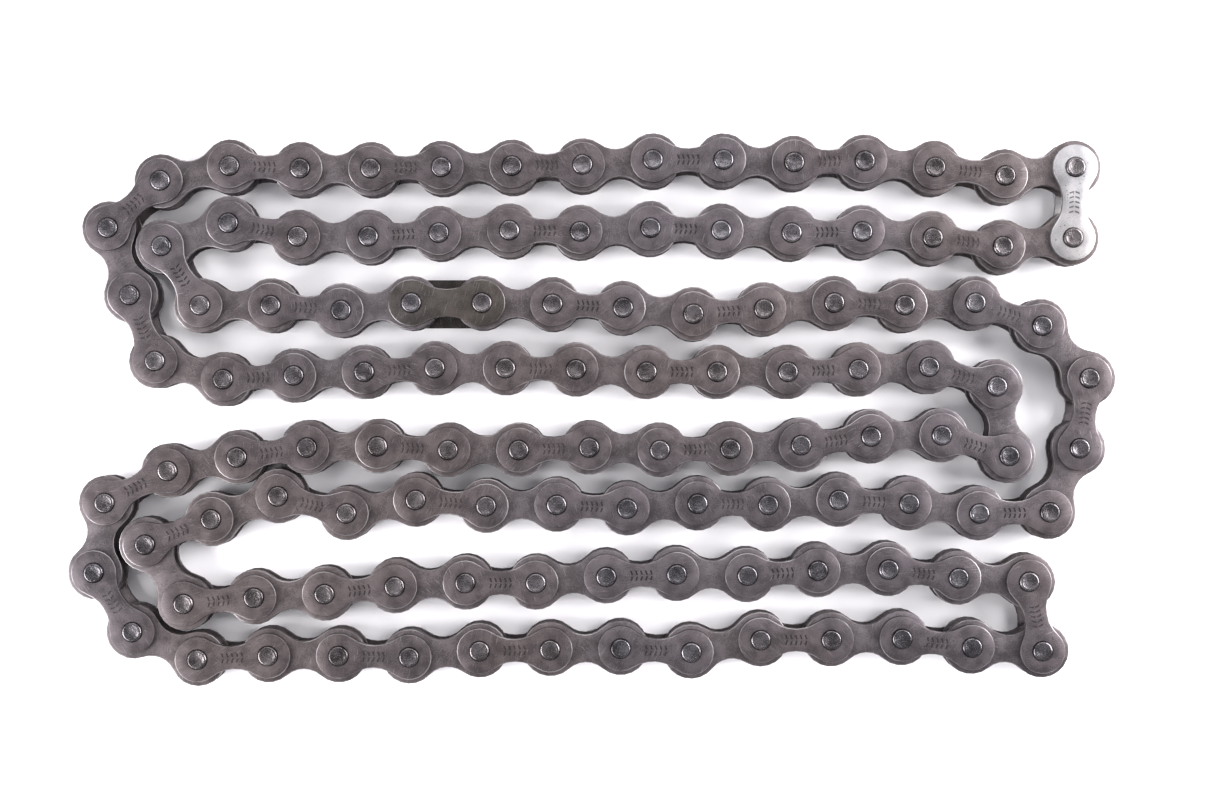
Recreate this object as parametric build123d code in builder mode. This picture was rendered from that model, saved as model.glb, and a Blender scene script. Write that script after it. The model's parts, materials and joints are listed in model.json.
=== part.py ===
"""Half-inch roller chain of 114 links, closed by a spring-clip link and laid flat in eight rows.

Links are numbered round the loop. Odd links are outer links (two plates and two pins), even
links are inner links (two plates, two bushes and two rollers). Every pin of an outer link turns
inside a bush of the inner link beside it. The chain lies on its side, so all pins stand along Z.
The origin is at the middle of the footprint, on the surface that the chain lies on.
"""
from math import acos, atan2, cos, degrees, hypot, radians, sin
import os

from build123d import *

os.makedirs("parts", exist_ok=True)

# ---- Chain sizes, in millimetres -----------------------------------------------------------
pitch = 12.7                    # pin to pin
inner_width = 3.3               # between the two inner plates, where a sprocket tooth goes
roller_diameter = 7.75
bush_diameter = 5.0
pin_diameter = 3.6

inner_plate_head = 9.9          # height of an inner plate over its round ends
inner_plate_waist = 5.0         # height of an inner plate at its middle
inner_plate_thickness = 1.1
outer_plate_head = 8.2
outer_plate_waist = 4.1
outer_plate_thickness = 1.0

pin_proud = 0.45                # how far a pin stands out of its outer plate
pin_chamfer = 0.25

# Connecting link: riveted plate above, loose cover plate and spring clip below.
connecting_plate_head = 8.5
connecting_plate_waist = 5.0
cover_plate_height = 8.8        # straight-sided plate with round ends
clip_thickness = 0.7
clip_closed_end = 7.4           # width of the clip round its closed end
clip_open_end = 6.4             # width of the clip over its two tips
clip_keyhole_offset = 3.1       # from the closed-end notch to the keyhole that passes a pin's head
clip_mouth = 2.3                # gap between the two sprung tips
clip_slot = 3.0                 # gap between the two legs
pin_neck_diameter = 2.7         # groove that the clip sits in
pin_head_below_clip = 0.35

# ---- Clearances ----------------------------------------------------------------------------
pin_clearance = 0.05            # radial, pin in bush
roller_clearance = 0.06         # radial, roller on bush
roller_side_play = 0.05         # each side, roller between inner plates
link_side_play = 0.1            # each side, inner plate to outer plate
cover_plate_clearance = 0.03    # radial, loose cover plate on its pins
clip_clearance = 0.05           # radial in the pin's neck, and above and below the clip

# ---- How the chain lies --------------------------------------------------------------------
# Heading of each link from its first pin to the next, in degrees anticlockwise from +X.
row_1_right = [12, -2, 0, 1, 1, 1, 4, 0]
top_strand = [-2, 1, -5, -7, 7]
top_end = [-92]
row_2_left = [178, -177, 179, -178, -177, 180, 169]
bend_2_to_3 = [-161, -57]
row_3_right = [0, -4, 6, 0, -1, -3, -5, 4, 5, -2, 2]
bend_3_to_6 = [-19, -48, -98, -115]
row_6_left = [-179, 172, 177, -176, 179, -176, 177, -179, 175, -169, 166]
bend_6_to_7 = [-161, -159, -57]
row_7_right = [5, 3, 6, 3, 0, 5, 2, -1, 4]
bottom_strand = [1, -7, -3]
bottom_end = [-79]
row_8_left = [-180, -170, 177, -179, -179, -175, 179, 180, -177]
bend_8_to_5 = [157, 123]
row_5_right = [11, 8, 1, -3, 0, 2, -2, 1, 3, 7, 1]
bend_5_to_4 = [-17, 100, 164]
row_4_left = [-178, -178, 180, 180, 178, 179, 180, -177, -177, -177]
bend_4_to_1 = [165, 111, 108, 42]


def returning(strand):
    """Headings of a strand that runs back parallel to the given one, in the row beside it."""
    return [heading + 180 for heading in reversed(strand)]


before_closing = (
    row_1_right + top_strand + top_end + returning(top_strand)
    + row_2_left + bend_2_to_3 + row_3_right + bend_3_to_6 + row_6_left + bend_6_to_7
    + row_7_right + bottom_strand + bottom_end + returning(bottom_strand)
    + row_8_left + bend_8_to_5
)
after_closing = row_5_right + bend_5_to_4 + row_4_left + bend_4_to_1

# Two links close the loop: their shared pin stands off the chord that the others leave open.
chord_x = -pitch * sum(cos(radians(heading)) for heading in before_closing + after_closing)
chord_y = -pitch * sum(sin(radians(heading)) for heading in before_closing + after_closing)
chord_heading = degrees(atan2(chord_y, chord_x))
bow_angle = degrees(acos(hypot(chord_x, chord_y) / (2 * pitch)))
closing = [chord_heading + bow_angle, chord_heading - bow_angle]
headings = before_closing + closing + after_closing

pin_x, pin_y = [0.0], [0.0]
for heading in headings[:-1]:
    pin_x.append(pin_x[-1] + pitch * cos(radians(heading)))
    pin_y.append(pin_y[-1] + pitch * sin(radians(heading)))
middle_x = (min(pin_x) + max(pin_x)) / 2
middle_y = (min(pin_y) + max(pin_y)) / 2
pin_points = [(x - middle_x, y - middle_y) for x, y in zip(pin_x, pin_y)]
link_places = [Location((x, y, 0), (0, 0, h)) for (x, y), h in zip(pin_points, headings)]

# ---- Which links are free to curl ----------------------------------------------------------
link_count = len(headings)
top_first = len(row_1_right)
top_links = range(top_first, top_first + 2 * len(top_strand) + 1)
bottom_first = len(before_closing) - len(
    bottom_strand + bottom_end + bottom_strand + row_8_left + bend_8_to_5
)
bottom_links = range(bottom_first, bottom_first + 2 * len(bottom_strand) + 1)
connecting_link = 31
single_links = [*top_links, *bottom_links, connecting_link]
resting_outer = [i for i in range(1, link_count, 2) if i not in single_links]
resting_inner = [i for i in range(0, link_count, 2) if i not in single_links]

# ---- Heights, worked out from the middle plane ---------------------------------------------
inner_face = inner_width / 2                                  # inner face of an inner plate
outer_face = inner_face + inner_plate_thickness + link_side_play   # inner face of an outer plate
outside_face = outer_face + outer_plate_thickness
pin_reach = outside_face + pin_proud
clip_top = outside_face + clip_clearance
neck_end = clip_top + clip_thickness + clip_clearance
long_pin_reach = neck_end + pin_head_below_clip
middle_height = long_pin_reach                                # middle plane above the surface
roller_length = inner_width - 2 * roller_side_play
bush_length = inner_width + 2 * inner_plate_thickness
bush_bore = pin_diameter + 2 * pin_clearance
roller_bore = bush_diameter + 2 * roller_clearance


def save(piece, name):
    """Label a finished piece and write it."""
    piece.part.label = name
    export_step(piece.part, f"parts/{name}.step")


def draw_waisted_outline(head, waist):
    """Plate outline: a round head on each pin, drawn in to a waist by an arc tangent to both."""
    head_radius, half_waist = head / 2, waist / 2
    waist_radius = ((pitch / 2) ** 2 + half_waist**2 - head_radius**2) / (head - waist)
    reach = head_radius + waist_radius
    tangent_x = head_radius * (pitch / 2) / reach
    tangent_y = head_radius * (half_waist + waist_radius) / reach
    with BuildLine() as outline:
        ThreePointArc((tangent_x, tangent_y), (pitch / 2, half_waist), (pitch - tangent_x, tangent_y))
        ThreePointArc(
            (pitch - tangent_x, tangent_y), (pitch + head_radius, 0), (pitch - tangent_x, -tangent_y)
        )
        ThreePointArc(
            (pitch - tangent_x, -tangent_y), (pitch / 2, -half_waist), (tangent_x, -tangent_y)
        )
        ThreePointArc((tangent_x, -tangent_y), (-head_radius, 0), (tangent_x, tangent_y))
    make_face(outline.edges())


def cut_pin_holes(diameter):
    """A hole at each end of a plate."""
    with Locations((0, 0), (pitch, 0)):
        Circle(diameter / 2, mode=Mode.SUBTRACT)


with BuildSketch() as inner_plate_shape:
    draw_waisted_outline(inner_plate_head, inner_plate_waist)
    cut_pin_holes(bush_diameter)

with BuildSketch() as outer_plate_shape:
    draw_waisted_outline(outer_plate_head, outer_plate_waist)
    cut_pin_holes(pin_diameter)


def make_plates(name, links, shape, face, thickness):
    """Both plates of each listed link, one on each side of the middle plane."""
    with BuildPart() as plates:
        for bottom in (middle_height + face, middle_height - face - thickness):
            with BuildSketch(Plane.XY.offset(bottom)):
                with Locations(*[link_places[i] for i in links]):
                    add(shape.sketch)
            extrude(amount=thickness)
    save(plates, name)


def make_rings(name, pins, outside, bore, length):
    """A plain ring round each listed pin, centred on the middle plane."""
    with BuildPart() as rings:
        with BuildSketch(Plane.XY.offset(middle_height - length / 2)):
            with Locations(*[pin_points[i % link_count] for i in pins]):
                Circle(outside / 2)
                Circle(bore / 2, mode=Mode.SUBTRACT)
        extrude(amount=length)
    save(rings, name)


def make_pins(name, pins):
    """Plain riveted pins, chamfered at both ends."""
    with BuildPart() as group:
        with BuildSketch(Plane.XY.offset(middle_height - pin_reach)):
            with Locations(*[pin_points[i % link_count] for i in pins]):
                Circle(pin_diameter / 2)
        extrude(amount=2 * pin_reach)
        end_rims = group.edges().filter_by(GeomType.CIRCLE)
        chamfer(end_rims, length=pin_chamfer)
    save(group, name)


def both_ends(links):
    """The two pins of each link."""
    return [pin for i in links for pin in (i, i + 1)]


def make_outer_link(links, plates_name, pins_name):
    make_plates(plates_name, links, outer_plate_shape, outer_face, outer_plate_thickness)
    make_pins(pins_name, both_ends(links))


def make_inner_link(links, plates_name, bushes_name):
    make_plates(plates_name, links, inner_plate_shape, inner_face, inner_plate_thickness)
    make_rings(bushes_name, both_ends(links), bush_diameter, bush_bore, bush_length)


def make_rollers(name, pins):
    make_rings(name, pins, roller_diameter, roller_bore, roller_length)


# ---- Chain that stays where it lies --------------------------------------------------------
make_outer_link(resting_outer, "outer_plates", "pins")
make_inner_link(resting_inner, "inner_plates", "bushes")
make_rollers("rollers", both_ends(resting_inner))

# ---- Links of the two free ends, each its own set of pieces --------------------------------
for i in [*top_links, *bottom_links]:
    link = f"link_{i:02d}"
    if i % 2:
        make_outer_link([i], f"{link}_outer_plates", f"{link}_pins")
    else:
        make_inner_link([i], f"{link}_inner_plates", f"{link}_bushes")
        if i in top_links:
            make_rollers(f"{link}_rollers", both_ends([i]))
        else:
            make_rollers(f"{link}_first_roller", [i])
            make_rollers(f"{link}_second_roller", [i + 1])

# ---- Connecting link -----------------------------------------------------------------------
connecting_place = link_places[connecting_link]

with BuildSketch() as connecting_plate_shape:
    draw_waisted_outline(connecting_plate_head, connecting_plate_waist)
    cut_pin_holes(pin_diameter)

with BuildPart() as connecting_plate:
    with BuildSketch(Plane.XY.offset(middle_height + outer_face)):
        with Locations(connecting_place):
            add(connecting_plate_shape.sketch)
    extrude(amount=outer_plate_thickness)
save(connecting_plate, "connecting_plate")

# Two long pins: riveted above, grooved below for the spring clip.
with BuildPart() as connecting_pins:
    with BuildSketch(Plane.XY):
        with Locations(*[pin_points[i] for i in both_ends([connecting_link])]):
            Circle(pin_diameter / 2)
    extrude(amount=long_pin_reach + pin_reach)
    chamfer(connecting_pins.edges().filter_by(GeomType.CIRCLE), length=pin_chamfer)
    with BuildSketch(Plane.XY.offset(middle_height - neck_end)):
        with Locations(*[pin_points[i] for i in both_ends([connecting_link])]):
            Circle(pin_diameter / 2)
            Circle(pin_neck_diameter / 2, mode=Mode.SUBTRACT)
    extrude(amount=neck_end - outside_face, mode=Mode.SUBTRACT)
save(connecting_pins, "connecting_pins")

with BuildSketch() as cover_plate_shape:
    with Locations((pitch / 2, 0)):
        SlotCenterToCenter(pitch, cover_plate_height)
    cut_pin_holes(pin_diameter + 2 * cover_plate_clearance)

with BuildPart() as cover_plate:
    with BuildSketch(Plane.XY.offset(middle_height - outside_face)):
        with Locations(connecting_place):
            add(cover_plate_shape.sketch)
    extrude(amount=outer_plate_thickness)
save(cover_plate, "connecting_cover_plate")

# The clip's closed end is round the link's first pin. A keyhole beside it lets that pin's head
# through when the clip is pushed along the link. Its tips pinch in behind the second pin's neck,
# then flare, so that they lie round the neck again when the clip is pushed all the way.
neck_notch = pin_neck_diameter + 2 * clip_clearance
with BuildSketch() as clip_shape:
    with BuildLine():
        wide_end = clip_closed_end / 2
        narrow_end = clip_open_end / 2
        Polyline(
            (0, wide_end), (pitch, narrow_end), (pitch + narrow_end, clip_mouth),
            (pitch + narrow_end, -clip_mouth), (pitch, -narrow_end), (0, -wide_end),
        )
        ThreePointArc((0, -wide_end), (-wide_end, 0), (0, wide_end))
    make_face()
    with Locations((0, 0), (pitch, 0), (pitch + clip_keyhole_offset, 0)):
        Circle(neck_notch / 2, mode=Mode.SUBTRACT)
    with Locations((clip_keyhole_offset, 0)):
        Circle(pin_diameter / 2 + clip_clearance, mode=Mode.SUBTRACT)
    with Locations((clip_keyhole_offset, 0)):
        Rectangle(
            pitch - clip_keyhole_offset - pin_neck_diameter / 2, clip_slot,
            align=(Align.MIN, Align.CENTER), mode=Mode.SUBTRACT,
        )
    Rectangle(
        pitch + clip_open_end, clip_mouth,
        align=(Align.MIN, Align.CENTER), mode=Mode.SUBTRACT,
    )

with BuildPart() as spring_clip:
    with BuildSketch(Plane.XY.offset(middle_height - clip_top - clip_thickness)):
        with Locations(connecting_place):
            add(clip_shape.sketch)
    extrude(amount=clip_thickness)
save(spring_clip, "spring_clip")
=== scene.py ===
import json
from math import atan2, cos, pi, radians, sin

import bmesh
import bpy
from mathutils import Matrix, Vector


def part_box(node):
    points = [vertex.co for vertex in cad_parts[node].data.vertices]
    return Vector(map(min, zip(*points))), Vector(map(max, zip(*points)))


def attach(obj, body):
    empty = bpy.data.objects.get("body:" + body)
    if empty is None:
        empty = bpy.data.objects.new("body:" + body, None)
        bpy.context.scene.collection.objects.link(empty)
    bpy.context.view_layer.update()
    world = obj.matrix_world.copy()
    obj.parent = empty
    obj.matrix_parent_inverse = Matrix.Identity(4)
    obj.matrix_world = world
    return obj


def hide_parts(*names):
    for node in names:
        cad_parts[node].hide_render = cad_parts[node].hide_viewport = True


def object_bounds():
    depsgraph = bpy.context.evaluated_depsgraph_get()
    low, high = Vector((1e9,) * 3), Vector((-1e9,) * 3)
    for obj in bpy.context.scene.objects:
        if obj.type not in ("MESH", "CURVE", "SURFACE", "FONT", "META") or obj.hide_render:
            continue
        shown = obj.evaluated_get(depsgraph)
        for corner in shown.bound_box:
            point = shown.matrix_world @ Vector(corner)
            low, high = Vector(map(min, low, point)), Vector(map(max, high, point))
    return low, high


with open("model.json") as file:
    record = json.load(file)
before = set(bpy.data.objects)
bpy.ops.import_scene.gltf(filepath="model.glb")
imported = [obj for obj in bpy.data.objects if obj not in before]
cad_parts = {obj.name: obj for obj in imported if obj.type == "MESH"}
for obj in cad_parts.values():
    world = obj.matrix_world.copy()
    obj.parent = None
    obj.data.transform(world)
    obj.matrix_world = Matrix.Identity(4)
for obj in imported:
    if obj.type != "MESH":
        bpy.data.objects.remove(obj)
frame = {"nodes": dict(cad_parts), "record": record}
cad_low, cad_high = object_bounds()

# ---- Studio --------------------------------------------------------------------------------
# The chain lies on a white table and is looked at from straight above. Large soft lights stand
# round it, the strongest on its right, so flat steel stays dark and rounded edges catch light.
chain_length = cad_high.x - cad_low.x
chain_share = 0.8465            # how much of the picture's width the chain takes
view_width = chain_length / chain_share
view_height = 0.39              # of the lens above the table
view_middle = (0.00276, 0.00245)
nearest_seen = 0.01

camera_data = bpy.data.cameras.new("overhead_camera")
camera_data.sensor_fit = "HORIZONTAL"
camera_data.lens = camera_data.sensor_width * view_height / view_width
camera_data.clip_start = nearest_seen
camera = bpy.data.objects.new("overhead_camera", camera_data)
camera.location = (*view_middle, view_height)
bpy.context.scene.collection.objects.link(camera)
bpy.context.scene.camera = camera
bpy.context.scene.view_settings.view_transform = "Standard"    # keeps the white table white

table_size = 4.0
table_colour = (0.855, 0.832, 0.862, 1)
table_roughness = 0.7
table_mesh = bpy.data.meshes.new("white_table")
table_corner = table_size / 2
table_mesh.from_pydata(
    [(-table_corner, -table_corner, 0), (table_corner, -table_corner, 0),
     (table_corner, table_corner, 0), (-table_corner, table_corner, 0)], [], [(0, 1, 2, 3)])
table = bpy.data.objects.new("white_table", table_mesh)
bpy.context.scene.collection.objects.link(table)
table_paint = bpy.data.materials.new("white_table")
table_paint.use_nodes = True
table_shader = table_paint.node_tree.nodes["Principled BSDF"]
table_shader.inputs["Base Color"].default_value = table_colour
table_shader.inputs["Roughness"].default_value = table_roughness
table_mesh.materials.append(table_paint)

room_colour = (0.97, 0.97, 1.0, 1)
room_light = 0.78
world = bpy.data.worlds.new("white_room")
world.use_nodes = True
world.node_tree.nodes["Background"].inputs["Color"].default_value = room_colour
world.node_tree.nodes["Background"].inputs["Strength"].default_value = room_light
bpy.context.scene.world = world


def add_softbox(name, place, aim, size, power):
    """A square area light at a place, turned towards a point. Its power is in watts."""
    data = bpy.data.lights.new(name, "AREA")
    data.shape = "SQUARE"
    data.size = size
    data.energy = power
    lamp = bpy.data.objects.new(name, data)
    lamp.location = place
    lamp.rotation_euler = (Vector(aim) - Vector(place)).to_track_quat("-Z", "Y").to_euler()
    bpy.context.scene.collection.objects.link(lamp)


add_softbox("right_softbox", place=(0.42, 0.10, 0.26), aim=(0.05, 0.01, 0), size=0.34, power=6.6)
add_softbox("left_softbox", place=(-0.40, -0.16, 0.27), aim=(-0.05, 0, 0), size=0.34, power=5.5)
add_softbox("back_softbox", place=(-0.02, 0.46, 0.52), aim=(0, 0.02, 0), size=0.60, power=3.8)

# ---- Outer plates --------------------------------------------------------------------------
# Each outer link has two waisted plates blanked from steel strip, pressed on the ends of its two
# pins. Blanking rolls their outer edge over, and a size stamp is struck in the waist.
pitch = 0.0127
outer_head = 0.0082
outer_waist = 0.0041
outer_thickness = 0.0010
pin_diameter = 0.0036
head_steps = 16                 # straight steps round each head
waist_steps = 6                 # and along each side of the waist
hole_steps = 20
die_roll = 0.00024              # rounding of the blanked edge on the outside
mid_arc = 0.29                  # how far in a rounding's middle lies, as a share of its radius
burr_break = 0.00008            # small break of the edge on the inside
hole_break = 0.00009            # small break round each pin
stamp_depth = 0.00009
tick_width = 0.00030
tick_height = 0.00078
tick_slant = 0.00026
tick_spacing = 0.00088
tick_rise = 0.00052             # of each row of ticks from the plate's middle line
tick_count = 5                  # in each row


def waisted_outline(head, waist, inset=0.0):
    """Points round a plate, about its middle: two round heads joined by arcs tangent to both."""
    radius, half_waist = head / 2 - inset, waist / 2 - inset
    reach = (pitch / 2) ** 2 + half_waist ** 2 - radius ** 2
    waist_radius = reach / (2 * (radius - half_waist))
    centre_y = half_waist + waist_radius
    lean = atan2(centre_y, pitch / 2)
    points = []
    for side in (1, -1):
        for step in range(head_steps):
            angle = (lean - pi) + step * (2 * pi - 2 * lean) / head_steps
            points.append((side * (pitch / 2 + radius * cos(angle)), side * radius * sin(angle)))
        for step in range(waist_steps):
            angle = -lean - step * (pi - 2 * lean) / waist_steps
            x, y = waist_radius * cos(angle), centre_y + waist_radius * sin(angle)
            points.append((side * x, side * y))
    return points


def ring_of(bm, points, z):
    """A closed ring of vertices."""
    return [bm.verts.new((x, y, z)) for x, y in points]


def skin(bm, lower, upper):
    """Quads between two rings of the same length."""
    count = len(lower)
    for i in range(count):
        j = (i + 1) % count
        bm.faces.new((lower[i], lower[j], upper[j], upper[i]))


def closed_edges(bm, ring):
    """The edges along a ring, made where they are missing."""
    edges = []
    for a, b in zip(ring, ring[1:] + ring[:1]):
        edges.append(bm.edges.get((a, b)) or bm.edges.new((a, b)))
    return edges


def circle_points(radius, steps, x=0.0, y=0.0):
    """Points round a circle."""
    return [(x + radius * cos(2 * pi * i / steps), y + radius * sin(2 * pi * i / steps))
            for i in range(steps)]


def finish_mesh(bm, name, sharp_angle=40):
    """Turn a bmesh into a mesh with outward normals, smooth but for its sharp edges."""
    bmesh.ops.recalc_face_normals(bm, faces=bm.faces)
    for face in bm.faces:
        face.smooth = True
    for edge in bm.edges:
        edge.smooth = edge.is_manifold and edge.calc_face_angle(0) < radians(sharp_angle)
    mesh = bpy.data.meshes.new(name)
    bm.to_mesh(mesh)
    bm.free()
    return mesh


def plate_mesh(name, outline, thickness, hole, stamps=()):
    """A blanked plate about its middle, outside face up, with a hole for each pin.
    outline gives its points at an inset. Each stamp is a ring of points struck into the top."""
    bm = bmesh.new()
    struck, worn = (bm.verts.layers.float.new(layer) for layer in ("struck", "worn"))
    top, bottom = thickness / 2, -thickness / 2
    levels = [
        (burr_break, bottom), (0.0, bottom + burr_break), (0.0, top - die_roll),
        (die_roll * mid_arc, top - die_roll * mid_arc), (die_roll, top)]
    rings = [ring_of(bm, outline(inset), z) for inset, z in levels]
    for lower, upper in zip(rings, rings[1:]):
        skin(bm, lower, upper)
    for vert in rings[3]:
        vert[worn] = 1.0
    top_edges = closed_edges(bm, rings[-1])
    bottom_edges = closed_edges(bm, rings[0])
    for side in (-1, 1):
        low, waist, high = (
            ring_of(bm, circle_points(radius, hole_steps, side * pitch / 2), z)
            for radius, z in ((hole / 2, bottom), (hole / 2, top - hole_break),
                              (hole / 2 + hole_break, top)))
        skin(bm, low, waist)
        skin(bm, waist, high)
        # Painted shade: the rim round each hole is marked struck, so the material paints a thin
        # dark ring that stands in for the shadow at the hole's edge
        for vert in waist:
            vert[struck] = 1.0
        top_edges += closed_edges(bm, high)
        bottom_edges += closed_edges(bm, low)
    for points in stamps:
        rim, floor = ring_of(bm, points, top), ring_of(bm, points, top - stamp_depth)
        skin(bm, floor, rim)
        bm.faces.new(floor)
        top_edges += closed_edges(bm, rim)
        # Each stamp's floor is marked struck as well, so the material darkens the recess: painted
        # shade that is partly grime
        for vert in floor:
            vert[struck] = 1.0
    bmesh.ops.triangle_fill(bm, edges=top_edges, use_beauty=True, normal=(0, 0, 1))
    bmesh.ops.triangle_fill(bm, edges=bottom_edges, use_beauty=True, normal=(0, 0, -1))
    return finish_mesh(bm, name)


def stamp_rings():
    """A herringbone of short ticks in place of a size stamp: two rows that lean opposite ways."""
    rings = []
    for row in (1, -1):
        for i in range(tick_count):
            x = (i - (tick_count - 1) / 2) * tick_spacing
            low, high = row * tick_rise - tick_height / 2, row * tick_rise + tick_height / 2
            left, right, lean = x - tick_width / 2, x + tick_width / 2, -row * tick_slant / 2
            rings.append([(left - lean, low), (right - lean, low),
                          (right + lean, high), (left + lean, high)])
    return rings


outer_plate = plate_mesh(
    "outer_plate", lambda inset: waisted_outline(outer_head, outer_waist, inset),
    outer_thickness, pin_diameter, stamp_rings())


weld_distance = 1e-6            # closer corners are one and the same


def solids_of(node):
    """Corner points of each separate solid in a CAD node, merged from its loose triangles."""
    bm = bmesh.new()
    bm.from_mesh(frame["nodes"][node].data)
    bmesh.ops.remove_doubles(bm, verts=bm.verts, dist=weld_distance)
    seen, solids = set(), []
    for start in bm.verts:
        if start in seen:
            continue
        seen.add(start)
        solid, front = [], [start]
        while front:
            vert = front.pop()
            solid.append(vert.co.copy())
            for edge in vert.link_edges:
                other = edge.other_vert(vert)
                if other not in seen:
                    seen.add(other)
                    front.append(other)
        solids.append(solid)
    bm.free()
    return solids


middle_height = sum(corner.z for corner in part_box("rollers")) / 2
below_middle = 1e-4             # a piece this far under it is on the chain's underside


def lie_of(solid):
    """Where one solid lies: its middle, its heading, and 1 if it is turned over or else 0."""
    middle = sum(solid, Vector()) / len(solid)
    low, high = min(p.z for p in solid), max(p.z for p in solid)
    spread_x = sum((p.x - middle.x) ** 2 for p in solid)
    spread_y = sum((p.y - middle.y) ** 2 for p in solid)
    spread_xy = sum((p.x - middle.x) * (p.y - middle.y) for p in solid)
    heading = atan2(2 * spread_xy, spread_x - spread_y) / 2
    middle.z = (low + high) / 2
    return middle, heading, float(middle.z < middle_height - below_middle)


def build_laying_tree():
    """Node tree that sets a copy of one piece at every point, turned to its link's heading.
    Each copy gets a tone from 0 to 1, so that no two plates look quite the same."""
    tree = bpy.data.node_groups.new("lay_pieces", "GeometryNodeTree")
    tree.interface.new_socket("Places", in_out="INPUT", socket_type="NodeSocketGeometry")
    tree.interface.new_socket("Piece", in_out="INPUT", socket_type="NodeSocketObject")
    tree.interface.new_socket("Finish", in_out="INPUT", socket_type="NodeSocketMaterial")
    tree.interface.new_socket("Tone Seed", in_out="INPUT", socket_type="NodeSocketInt")
    tree.interface.new_socket("Pieces", in_out="OUTPUT", socket_type="NodeSocketGeometry")
    add = tree.nodes.new
    inputs, output = add("NodeGroupInput"), add("NodeGroupOutput")
    to_points = add("GeometryNodeMeshToPoints")
    piece = add("GeometryNodeObjectInfo")
    piece.inputs["As Instance"].default_value = True
    turn, over = add("GeometryNodeInputNamedAttribute"), add("GeometryNodeInputNamedAttribute")
    turn.data_type = over.data_type = "FLOAT"
    turn.inputs["Name"].default_value = "heading"
    over.inputs["Name"].default_value = "turned_over"
    half_turn = add("ShaderNodeMath")
    half_turn.operation = "MULTIPLY"
    half_turn.inputs[1].default_value = pi
    angles = add("ShaderNodeCombineXYZ")
    rotation = add("FunctionNodeEulerToRotation")
    copies = add("GeometryNodeInstanceOnPoints")
    random_tone = add("FunctionNodeRandomValue")
    random_tone.data_type = "FLOAT"
    keep_tone = add("GeometryNodeStoreNamedAttribute")
    keep_tone.data_type, keep_tone.domain = "FLOAT", "INSTANCE"
    keep_tone.inputs["Name"].default_value = "tone"
    realize, finish = add("GeometryNodeRealizeInstances"), add("GeometryNodeSetMaterial")
    link = tree.links.new
    link(inputs.outputs["Places"], to_points.inputs["Mesh"])
    link(inputs.outputs["Piece"], piece.inputs["Object"])
    link(over.outputs["Attribute"], half_turn.inputs[0])
    link(half_turn.outputs["Value"], angles.inputs["X"])
    link(turn.outputs["Attribute"], angles.inputs["Z"])
    link(angles.outputs["Vector"], rotation.inputs["Euler"])
    link(to_points.outputs["Points"], copies.inputs["Points"])
    link(piece.outputs["Geometry"], copies.inputs["Instance"])
    link(rotation.outputs["Rotation"], copies.inputs["Rotation"])
    link(inputs.outputs["Tone Seed"], random_tone.inputs["Seed"])
    link(copies.outputs["Instances"], keep_tone.inputs["Geometry"])
    link(random_tone.outputs[1], keep_tone.inputs["Value"])
    link(keep_tone.outputs["Geometry"], realize.inputs["Geometry"])
    link(realize.outputs["Geometry"], finish.inputs["Geometry"])
    link(inputs.outputs["Finish"], finish.inputs["Material"])
    link(finish.outputs["Geometry"], output.inputs["Pieces"])
    return tree


laying_tree = build_laying_tree()
body_of_node = {node: body for body, nodes in frame["record"]["behaviour"]["bodies"].items()
                for node in nodes}


def lay_pieces(node, mesh, finish, seed):
    """Replace one CAD node by detailed copies of its piece, one on each of its solids."""
    lies = [lie_of(solid) for solid in solids_of(node)]
    places = bpy.data.meshes.new("places")
    places.from_pydata([middle for middle, heading, over in lies], [], [])
    for name, column in (("heading", 1), ("turned_over", 2)):
        values = places.attributes.new(name, "FLOAT", "POINT")
        values.data.foreach_set("value", [lie[column] for lie in lies])
    pattern = bpy.data.objects.new("pattern", mesh)
    holder = bpy.data.objects.new("holder", places)
    for helper in (pattern, holder):
        bpy.context.scene.collection.objects.link(helper)
    modifier = holder.modifiers.new("lay", "NODES")
    modifier.node_group = laying_tree
    sockets = {item.name: item.identifier for item in laying_tree.interface.items_tree
               if item.in_out == "INPUT"}
    modifier[sockets["Piece"]] = pattern
    modifier[sockets["Finish"]] = finish
    modifier[sockets["Tone Seed"]] = seed
    depsgraph = bpy.context.evaluated_depsgraph_get()
    laid = bpy.data.meshes.new_from_object(holder.evaluated_get(depsgraph))
    laid.name = f"{node}_steel"
    piece = bpy.data.objects.new(f"{node}_steel", laid)
    bpy.context.scene.collection.objects.link(piece)
    for helper in (holder, pattern):
        bpy.data.objects.remove(helper)
    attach(piece, body_of_node[node])
    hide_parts(node)
    return piece


def calculate(tree, operation, *values):
    """A Math node on sockets or plain numbers. Gives back its result."""
    node = tree.nodes.new("ShaderNodeMath")
    node.operation = operation
    for socket, value in zip(node.inputs, values):
        if isinstance(value, (int, float)):
            socket.default_value = value
        else:
            tree.links.new(value, socket)
    return node.outputs["Value"]


def spread(tree, value, low, high, to_low=0.0, to_high=1.0):
    """Stretch a value from one range to another, held at both ends."""
    node = tree.nodes.new("ShaderNodeMapRange")
    for name, number in (("From Min", low), ("From Max", high), ("To Min", to_low),
                         ("To Max", to_high)):
        node.inputs[name].default_value = number
    tree.links.new(value, node.inputs["Value"])
    return node.outputs["Result"]


def blend_colours(tree, factor, first, second, way="MIX"):
    """Mix two colours, each a socket or a plain colour, by a socket or a number."""
    node = tree.nodes.new("ShaderNodeMix")
    node.data_type, node.blend_type = "RGBA", way
    for name, value in (("Factor", factor), ("A", first), ("B", second)):
        if isinstance(value, tuple):
            node.inputs[name].default_value = (*value, 1)
        elif isinstance(value, float):
            node.inputs[name].default_value = value
        else:
            tree.links.new(value, node.inputs[name])
    return node.outputs["Result"]


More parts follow.
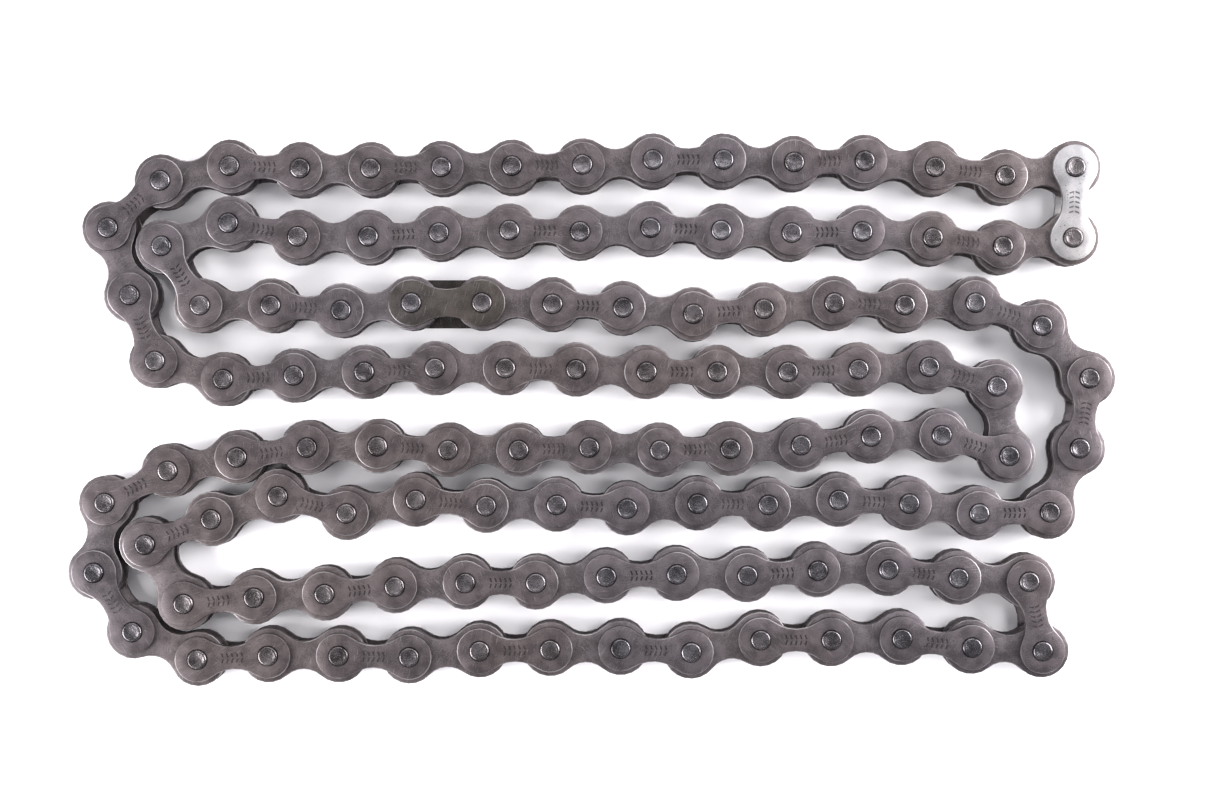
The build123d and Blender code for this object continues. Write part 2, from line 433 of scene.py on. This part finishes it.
def cloud(tree, vector, scale, detail=3.0):
    """Noise on the given coordinates. The scale is in lumps for each metre, or a socket."""
    node = tree.nodes.new("ShaderNodeTexNoise")
    node.inputs["Detail"].default_value = detail
    tree.links.new(vector, node.inputs["Vector"])
    if isinstance(scale, float):
        node.inputs["Scale"].default_value = scale
    else:
        tree.links.new(scale, node.inputs["Scale"])
    return node.outputs["Fac"]


def steel_grain_group():
    """Surface of used steel on Object coordinates: grain, dark pits, scratches and dents.
    Scales are in lumps for each metre."""
    stain_scale, haze_scale, wear_scale, dent_scale = 420.0, 22.0, 170.0, 950.0
    pit_scale, pitted_patch_scale, widest_pit = 1900.0, 650.0, 0.33
    scratch_sets = ((0.4, 7000.0), (1.7, 9500.0))       # the lean and fineness of each set
    along_scratch, into_steel = 330.0, 900.0
    group = bpy.data.node_groups.new("steel_grain", "ShaderNodeTree")
    for name, value in (("Grain", 5200.0), ("Pits", 0.5), ("Scratches", 0.4),
                        ("Scratch Turn", 0.0), ("Dents", 0.0)):
        socket = group.interface.new_socket(name, in_out="INPUT", socket_type="NodeSocketFloat")
        socket.default_value = value
    for name in ("Shade", "Haze", "Wear", "Pit Mask", "Scratch Mask", "Height"):
        group.interface.new_socket(name, in_out="OUTPUT", socket_type="NodeSocketFloat")
    add, link = group.nodes.new, group.links.new
    inputs, outputs = add("NodeGroupInput"), add("NodeGroupOutput")
    place = add("ShaderNodeTexCoord").outputs["Object"]

    grain = cloud(group, place, inputs.outputs["Grain"])
    stains = cloud(group, place, stain_scale, detail=5.0)
    haze = spread(group, cloud(group, place, haze_scale, detail=2.0), low=0.38, high=0.62)

    pits = add("ShaderNodeTexVoronoi")
    pits.inputs["Scale"].default_value = pit_scale
    link(place, pits.inputs["Vector"])
    pit_size = spread(group, cloud(group, place, pitted_patch_scale),
                      low=0.47, high=0.74, to_high=widest_pit)
    pit_mask = calculate(group, "MULTIPLY", inputs.outputs["Pits"],
                         calculate(group, "LESS_THAN", pits.outputs["Distance"], pit_size))

    turned = add("ShaderNodeVectorRotate")
    turned.rotation_type = "Z_AXIS"
    link(place, turned.inputs["Vector"])
    link(inputs.outputs["Scratch Turn"], turned.inputs["Angle"])
    lines = []
    for lean, fineness in scratch_sets:
        stretch = add("ShaderNodeMapping")
        stretch.inputs["Rotation"].default_value = (0, 0, lean)
        stretch.inputs["Scale"].default_value = (along_scratch, fineness, into_steel)
        link(turned.outputs["Vector"], stretch.inputs["Vector"])
        streaks = cloud(group, stretch.outputs["Vector"], scale=1.0, detail=1.0)
        lines.append(spread(group, streaks, low=0.68, high=0.78))
    scratch_mask = calculate(group, "MULTIPLY", inputs.outputs["Scratches"],
                             calculate(group, "MAXIMUM", *lines))

    dents = calculate(group, "MULTIPLY", inputs.outputs["Dents"],
                      cloud(group, place, dent_scale, detail=2.0))
    height = calculate(group, "SUBTRACT", calculate(group, "ADD", grain, dents), pit_mask)
    link(calculate(group, "ADD", grain, stains), outputs.inputs["Shade"])
    link(haze, outputs.inputs["Haze"])
    link(cloud(group, place, wear_scale), outputs.inputs["Wear"])
    link(pit_mask, outputs.inputs["Pit Mask"])
    link(scratch_mask, outputs.inputs["Scratch Mask"])
    link(height, outputs.inputs["Height"])
    return group


steel_grain = steel_grain_group()
# Colour of the pits' grime, and of the painted shade in stamp recesses and round the pin holes
grime_and_shade_colour = (0.016, 0.013, 0.014)
scratch_colour = (0.42, 0.40, 0.41)
brown_cast, blue_cast = (1.035, 0.985, 0.955), (0.985, 0.99, 1.03)
full_turn = 2 * pi
stain_strength = 0.72           # of the way from the dark colour to the light one
tone_strength = 0.3             # what a piece's own tone adds to that
rough_change = 0.12             # roughness from clean to stained, and from plain to polished
bump_height = 0.00002


def steel(name, dark, light, roughness, worn_colour=(0.30, 0.28, 0.29), metallic=0.85, pits=0.6,
          scratches=0.25, dents=0.0, bump=0.35):
    """Used steel that goes from a dark to a light colour with its stains and each piece's tone.
    Worn edges are polished lighter and pits hold grime. Struck places get painted shade: a dark
    ring round each pin hole, and dark stamp recesses that are partly grime."""
    material = bpy.data.materials.new(name)
    material.use_nodes = True
    tree, shader = material.node_tree, material.node_tree.nodes["Principled BSDF"]
    add, link = tree.nodes.new, tree.links.new
    tone, struck, worn = (add("ShaderNodeAttribute") for _ in range(3))
    tone.attribute_name, struck.attribute_name, worn.attribute_name = "tone", "struck", "worn"
    surface = add("ShaderNodeGroup")
    surface.node_tree = steel_grain
    for socket, value in (("Pits", pits), ("Scratches", scratches), ("Dents", dents)):
        surface.inputs[socket].default_value = value
    link(calculate(tree, "MULTIPLY", tone.outputs["Fac"], full_turn),
         surface.inputs["Scratch Turn"])

    stain = spread(tree, surface.outputs["Shade"], low=0.86, high=1.14, to_high=stain_strength)
    lightness = calculate(tree, "MULTIPLY_ADD", tone.outputs["Fac"], tone_strength, stain)
    colour = blend_colours(tree, lightness, dark, light)
    cast = blend_colours(tree, surface.outputs["Haze"], brown_cast, blue_cast)
    colour = blend_colours(tree, 1.0, colour, cast, "MULTIPLY")
    polish = calculate(tree, "MULTIPLY", worn.outputs["Fac"],
                       spread(tree, surface.outputs["Wear"],
                              low=0.46, high=0.62, to_low=0.05, to_high=0.75))
    colour = blend_colours(tree, polish, colour, worn_colour)
    colour = blend_colours(tree, surface.outputs["Scratch Mask"], colour, scratch_colour)
    # Painted shade: struck places (stamp recesses and the rims round the pin holes) are darkened
    # by an amount that varies with each piece's tone
    recess_shade = calculate(tree, "MULTIPLY", struck.outputs["Fac"],
                       spread(tree, tone.outputs["Fac"],
                              low=0.0, high=1.0, to_low=0.35, to_high=0.85))
    # The pits' grime and that painted shade darken the colour together
    pit_grime_and_recess_shade = calculate(tree, "MAXIMUM", surface.outputs["Pit Mask"], recess_shade)
    link(blend_colours(tree, pit_grime_and_recess_shade, colour, grime_and_shade_colour), shader.inputs["Base Color"])

    rough = calculate(tree, "MULTIPLY_ADD", surface.outputs["Shade"], rough_change,
                      roughness - rough_change)
    link(calculate(tree, "MULTIPLY_ADD", polish, -rough_change, rough),
         shader.inputs["Roughness"])
    bumps = add("ShaderNodeBump")
    bumps.inputs["Strength"].default_value = bump
    bumps.inputs["Distance"].default_value = bump_height
    link(surface.outputs["Height"], bumps.inputs["Height"])
    link(bumps.outputs["Normal"], shader.inputs["Normal"])
    shader.inputs["Metallic"].default_value = metallic
    return material


outer_plate_steel = steel(
    "outer_plate_steel", dark=(0.0345, 0.029, 0.031), light=(0.082, 0.070, 0.074), roughness=0.49)
bright_steel = steel(
    "bright_plate_steel", dark=(0.170, 0.170, 0.180), light=(0.265, 0.265, 0.278), roughness=0.42,
    worn_colour=(0.40, 0.40, 0.41), pits=0.9, scratches=0.2)
outer_nodes = [node for node in body_of_node if node.endswith("outer_plates")]
bright_node = "link_13_outer_plates"
for seed, node in enumerate(outer_nodes):
    finish = bright_steel if node == bright_node else outer_plate_steel
    lay_pieces(node, outer_plate, finish, seed)

# ---- Inner plates --------------------------------------------------------------------------
# Each inner link has two slightly larger plates pressed on its two bushes. They are blanked from
# the same strip, carry no stamp, and their heads show round the outer plates' heads.
inner_head = 0.0099
inner_waist = 0.0050
inner_thickness = 0.0011
bush_diameter = 0.0050

inner_plate = plate_mesh(
    "inner_plate", lambda inset: waisted_outline(inner_head, inner_waist, inset),
    inner_thickness, bush_diameter)
inner_plate_steel = steel(
    "inner_plate_steel", dark=(0.041, 0.035, 0.037), light=(0.092, 0.080, 0.084), roughness=0.49)
inner_nodes = [node for node in body_of_node if node.endswith("inner_plates")]
for seed, node in enumerate(inner_nodes):
    lay_pieces(node, inner_plate, inner_plate_steel, seed)

# ---- Pins ----------------------------------------------------------------------------------
# Hard round pins pressed into the outer plates. Both ends are peened, which leaves a rounded
# shiny rim round a shallow hammered dish.
pin_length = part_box("pins")[1].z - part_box("pins")[0].z
pin_steps = 20
pin_rim = 0.00036               # rounding of the rim
pin_dish = 0.00010              # depth of the dish
# Points over the end: how far in from the side in rims, and how far down in rims or dishes.
rim_points = ((0.0, 1.0), (0.14, 0.5), (0.5, 0.12), (0.95, 0.0))
dish_points = ((1.5, 0.35), (2.3, 1.0))


def turned_mesh(name, profile, steps, closed=False):
    """A turned piece about Z from (radius, height) points, capped unless its profile closes."""
    bm = bmesh.new()
    rings = [ring_of(bm, circle_points(radius, steps), z) for radius, z in profile]
    for lower, upper in zip(rings, rings[1:]):
        skin(bm, lower, upper)
    if closed:
        skin(bm, rings[-1], rings[0])
    else:
        bm.faces.new(rings[0])
        bm.faces.new(rings[-1])
    return finish_mesh(bm, name)


def peened_end(end):
    """Profile of a peened end whose rim reaches the given height."""
    radius = pin_diameter / 2
    return [(radius - inward * pin_rim, end - down * depth)
            for points, depth in ((rim_points, pin_rim), (dish_points, pin_dish))
            for inward, down in points]


def other_way_up(profile):
    """The same profile for the lower end."""
    return [(radius, -z) for radius, z in reversed(profile)]


pin_top = peened_end(pin_length / 2)
pin = turned_mesh("pin", other_way_up(pin_top) + pin_top, pin_steps)
pin_steel = steel(
    "pin_steel", dark=(0.030, 0.027, 0.029), light=(0.150, 0.140, 0.148), roughness=0.27,
    metallic=1.0, scratches=0.2, dents=6.0, bump=0.8)
pin_nodes = [node for node in body_of_node
             if node.endswith("pins") and not node.startswith("connecting")]
for seed, node in enumerate(pin_nodes):
    lay_pieces(node, pin, pin_steel, seed)

# ---- Bushes --------------------------------------------------------------------------------
# Plain hardened tubes pressed into the inner plates. Each pin turns in one and each roller on one.
bush_steel = steel(
    "bush_steel", dark=(0.16, 0.15, 0.15), light=(0.32, 0.30, 0.31), roughness=0.40)
for node in body_of_node:
    if node.endswith("bushes"):
        frame["nodes"][node].data.materials.clear()
        frame["nodes"][node].data.materials.append(bush_steel)

# ---- Rollers -------------------------------------------------------------------------------
# Hardened rings that turn freely on the bushes, with rounded rims. Sprocket teeth polish them.
roller_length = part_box("rollers")[1].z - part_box("rollers")[0].z
roller_diameter = 0.00775
roller_bore = 0.00512
roller_steps = 24
roller_rim = 0.0003
roller_profile = [
    (roller_bore / 2, roller_length / 2), (roller_bore / 2, -roller_length / 2),
    (roller_diameter / 2 - roller_rim, -roller_length / 2),
    (roller_diameter / 2 - mid_arc * roller_rim, -roller_length / 2 + mid_arc * roller_rim),
    (roller_diameter / 2, -roller_length / 2 + roller_rim),
    (roller_diameter / 2, roller_length / 2 - roller_rim),
    (roller_diameter / 2 - mid_arc * roller_rim, roller_length / 2 - mid_arc * roller_rim),
    (roller_diameter / 2 - roller_rim, roller_length / 2)]
roller = turned_mesh("roller", roller_profile, roller_steps, closed=True)
roller_steel = steel(
    "roller_steel", dark=(0.034, 0.029, 0.031), light=(0.072, 0.064, 0.067), roughness=0.40,
    scratches=0.5)
roller_nodes = [node for node in body_of_node if "roller" in node]
for seed, node in enumerate(roller_nodes):
    lay_pieces(node, roller, roller_steel, seed)

# ---- Connecting link's plates --------------------------------------------------------------
# The link that closes the loop. Its upper plate is riveted to two longer pins. Its straight-sided
# cover plate slips over their lower ends, so that the chain can be opened there.
riveted_head = 0.0085
riveted_waist = 0.0050
riveted_plate = plate_mesh(
    "riveted_plate", lambda inset: waisted_outline(riveted_head, riveted_waist, inset),
    outer_thickness, pin_diameter)
connecting_steel = steel(
    "connecting_steel", dark=(0.025, 0.0215, 0.0195), light=(0.056, 0.049, 0.0455), roughness=0.49)
lay_pieces("connecting_plate", riveted_plate, connecting_steel, 1)

cover_height = 0.0088
cover_play = 0.00006            # of its holes round the pins


def straight_outline(inset=0.0):
    """Points round the cover plate: two half circles joined by straight sides."""
    radius = cover_height / 2 - inset
    points = []
    for side in (1, -1):
        for step in range(head_steps + 1):
            angle = -pi / 2 + step * pi / head_steps
            points.append((side * (pitch / 2 + radius * cos(angle)), side * radius * sin(angle)))
    return points


cover_plate = plate_mesh(
    "cover_plate", straight_outline, outer_thickness, pin_diameter + cover_play)
lay_pieces("connecting_cover_plate", cover_plate, connecting_steel, 2)

# ---- Connecting link's pins ----------------------------------------------------------------
# Two hard pins, longer than the rest and peened above. The lower end of each has a turned neck
# for the clip, and below it a small head that keeps the clip on.
long_pin_middle = sum(corner.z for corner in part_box("connecting_pins")) / 2
long_pin_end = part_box("connecting_pins")[1].z - long_pin_middle
cover_face = long_pin_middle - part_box("connecting_cover_plate")[0].z
clip_play = 0.00005             # between the clip and the heads
head_start = long_pin_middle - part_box("spring_clip")[0].z + clip_play
neck_radius = 0.00135
head_break = 0.00014            # of the head's lower edge
long_pin = turned_mesh("long_pin", other_way_up(peened_end(long_pin_end)) + [
    (pin_diameter / 2, cover_face), (neck_radius, cover_face), (neck_radius, head_start),
    (pin_diameter / 2, head_start), (pin_diameter / 2, long_pin_end - head_break),
    (pin_diameter / 2 - head_break, long_pin_end)], pin_steps)
lay_pieces("connecting_pins", long_pin, pin_steel, 3)

# ---- Spring clip ---------------------------------------------------------------------------
# Stamped from spring steel strip, with its sheared edges tumbled smooth. It slides on the pins'
# necks below the cover plate and springs shut behind the second one.
clip_edge = 0.00010             # rounding of the sheared edges
flat_within = radians(1)        # faces nearer in angle than this become one
edge_turn = radians(70)         # an edge that turns more than this is a sheared one
clip_sharp_angle = 30           # in degrees, as finish_mesh takes it
clip_steel = steel(
    "clip_steel", dark=(0.16, 0.155, 0.155), light=(0.27, 0.26, 0.265), roughness=0.34,
    metallic=1.0)
bm = bmesh.new()
bm.from_mesh(frame["nodes"]["spring_clip"].data)
bmesh.ops.remove_doubles(bm, verts=bm.verts, dist=weld_distance)
bmesh.ops.dissolve_limit(bm, angle_limit=flat_within, verts=bm.verts, edges=bm.edges)
rims = [edge for edge in bm.edges if edge.calc_face_angle(0) > edge_turn
        and abs(edge.verts[0].co.z - edge.verts[1].co.z) < clip_edge]
bmesh.ops.bevel(bm, geom=rims, offset=clip_edge, segments=2, profile=0.5, affect="EDGES",
                clamp_overlap=True)
clip_mesh = finish_mesh(bm, "spring_clip_steel", clip_sharp_angle)
clip_mesh.materials.append(clip_steel)
clip = bpy.data.objects.new("spring_clip_steel", clip_mesh)
bpy.context.scene.collection.objects.link(clip)
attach(clip, body_of_node["spring_clip"])
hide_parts("spring_clip")
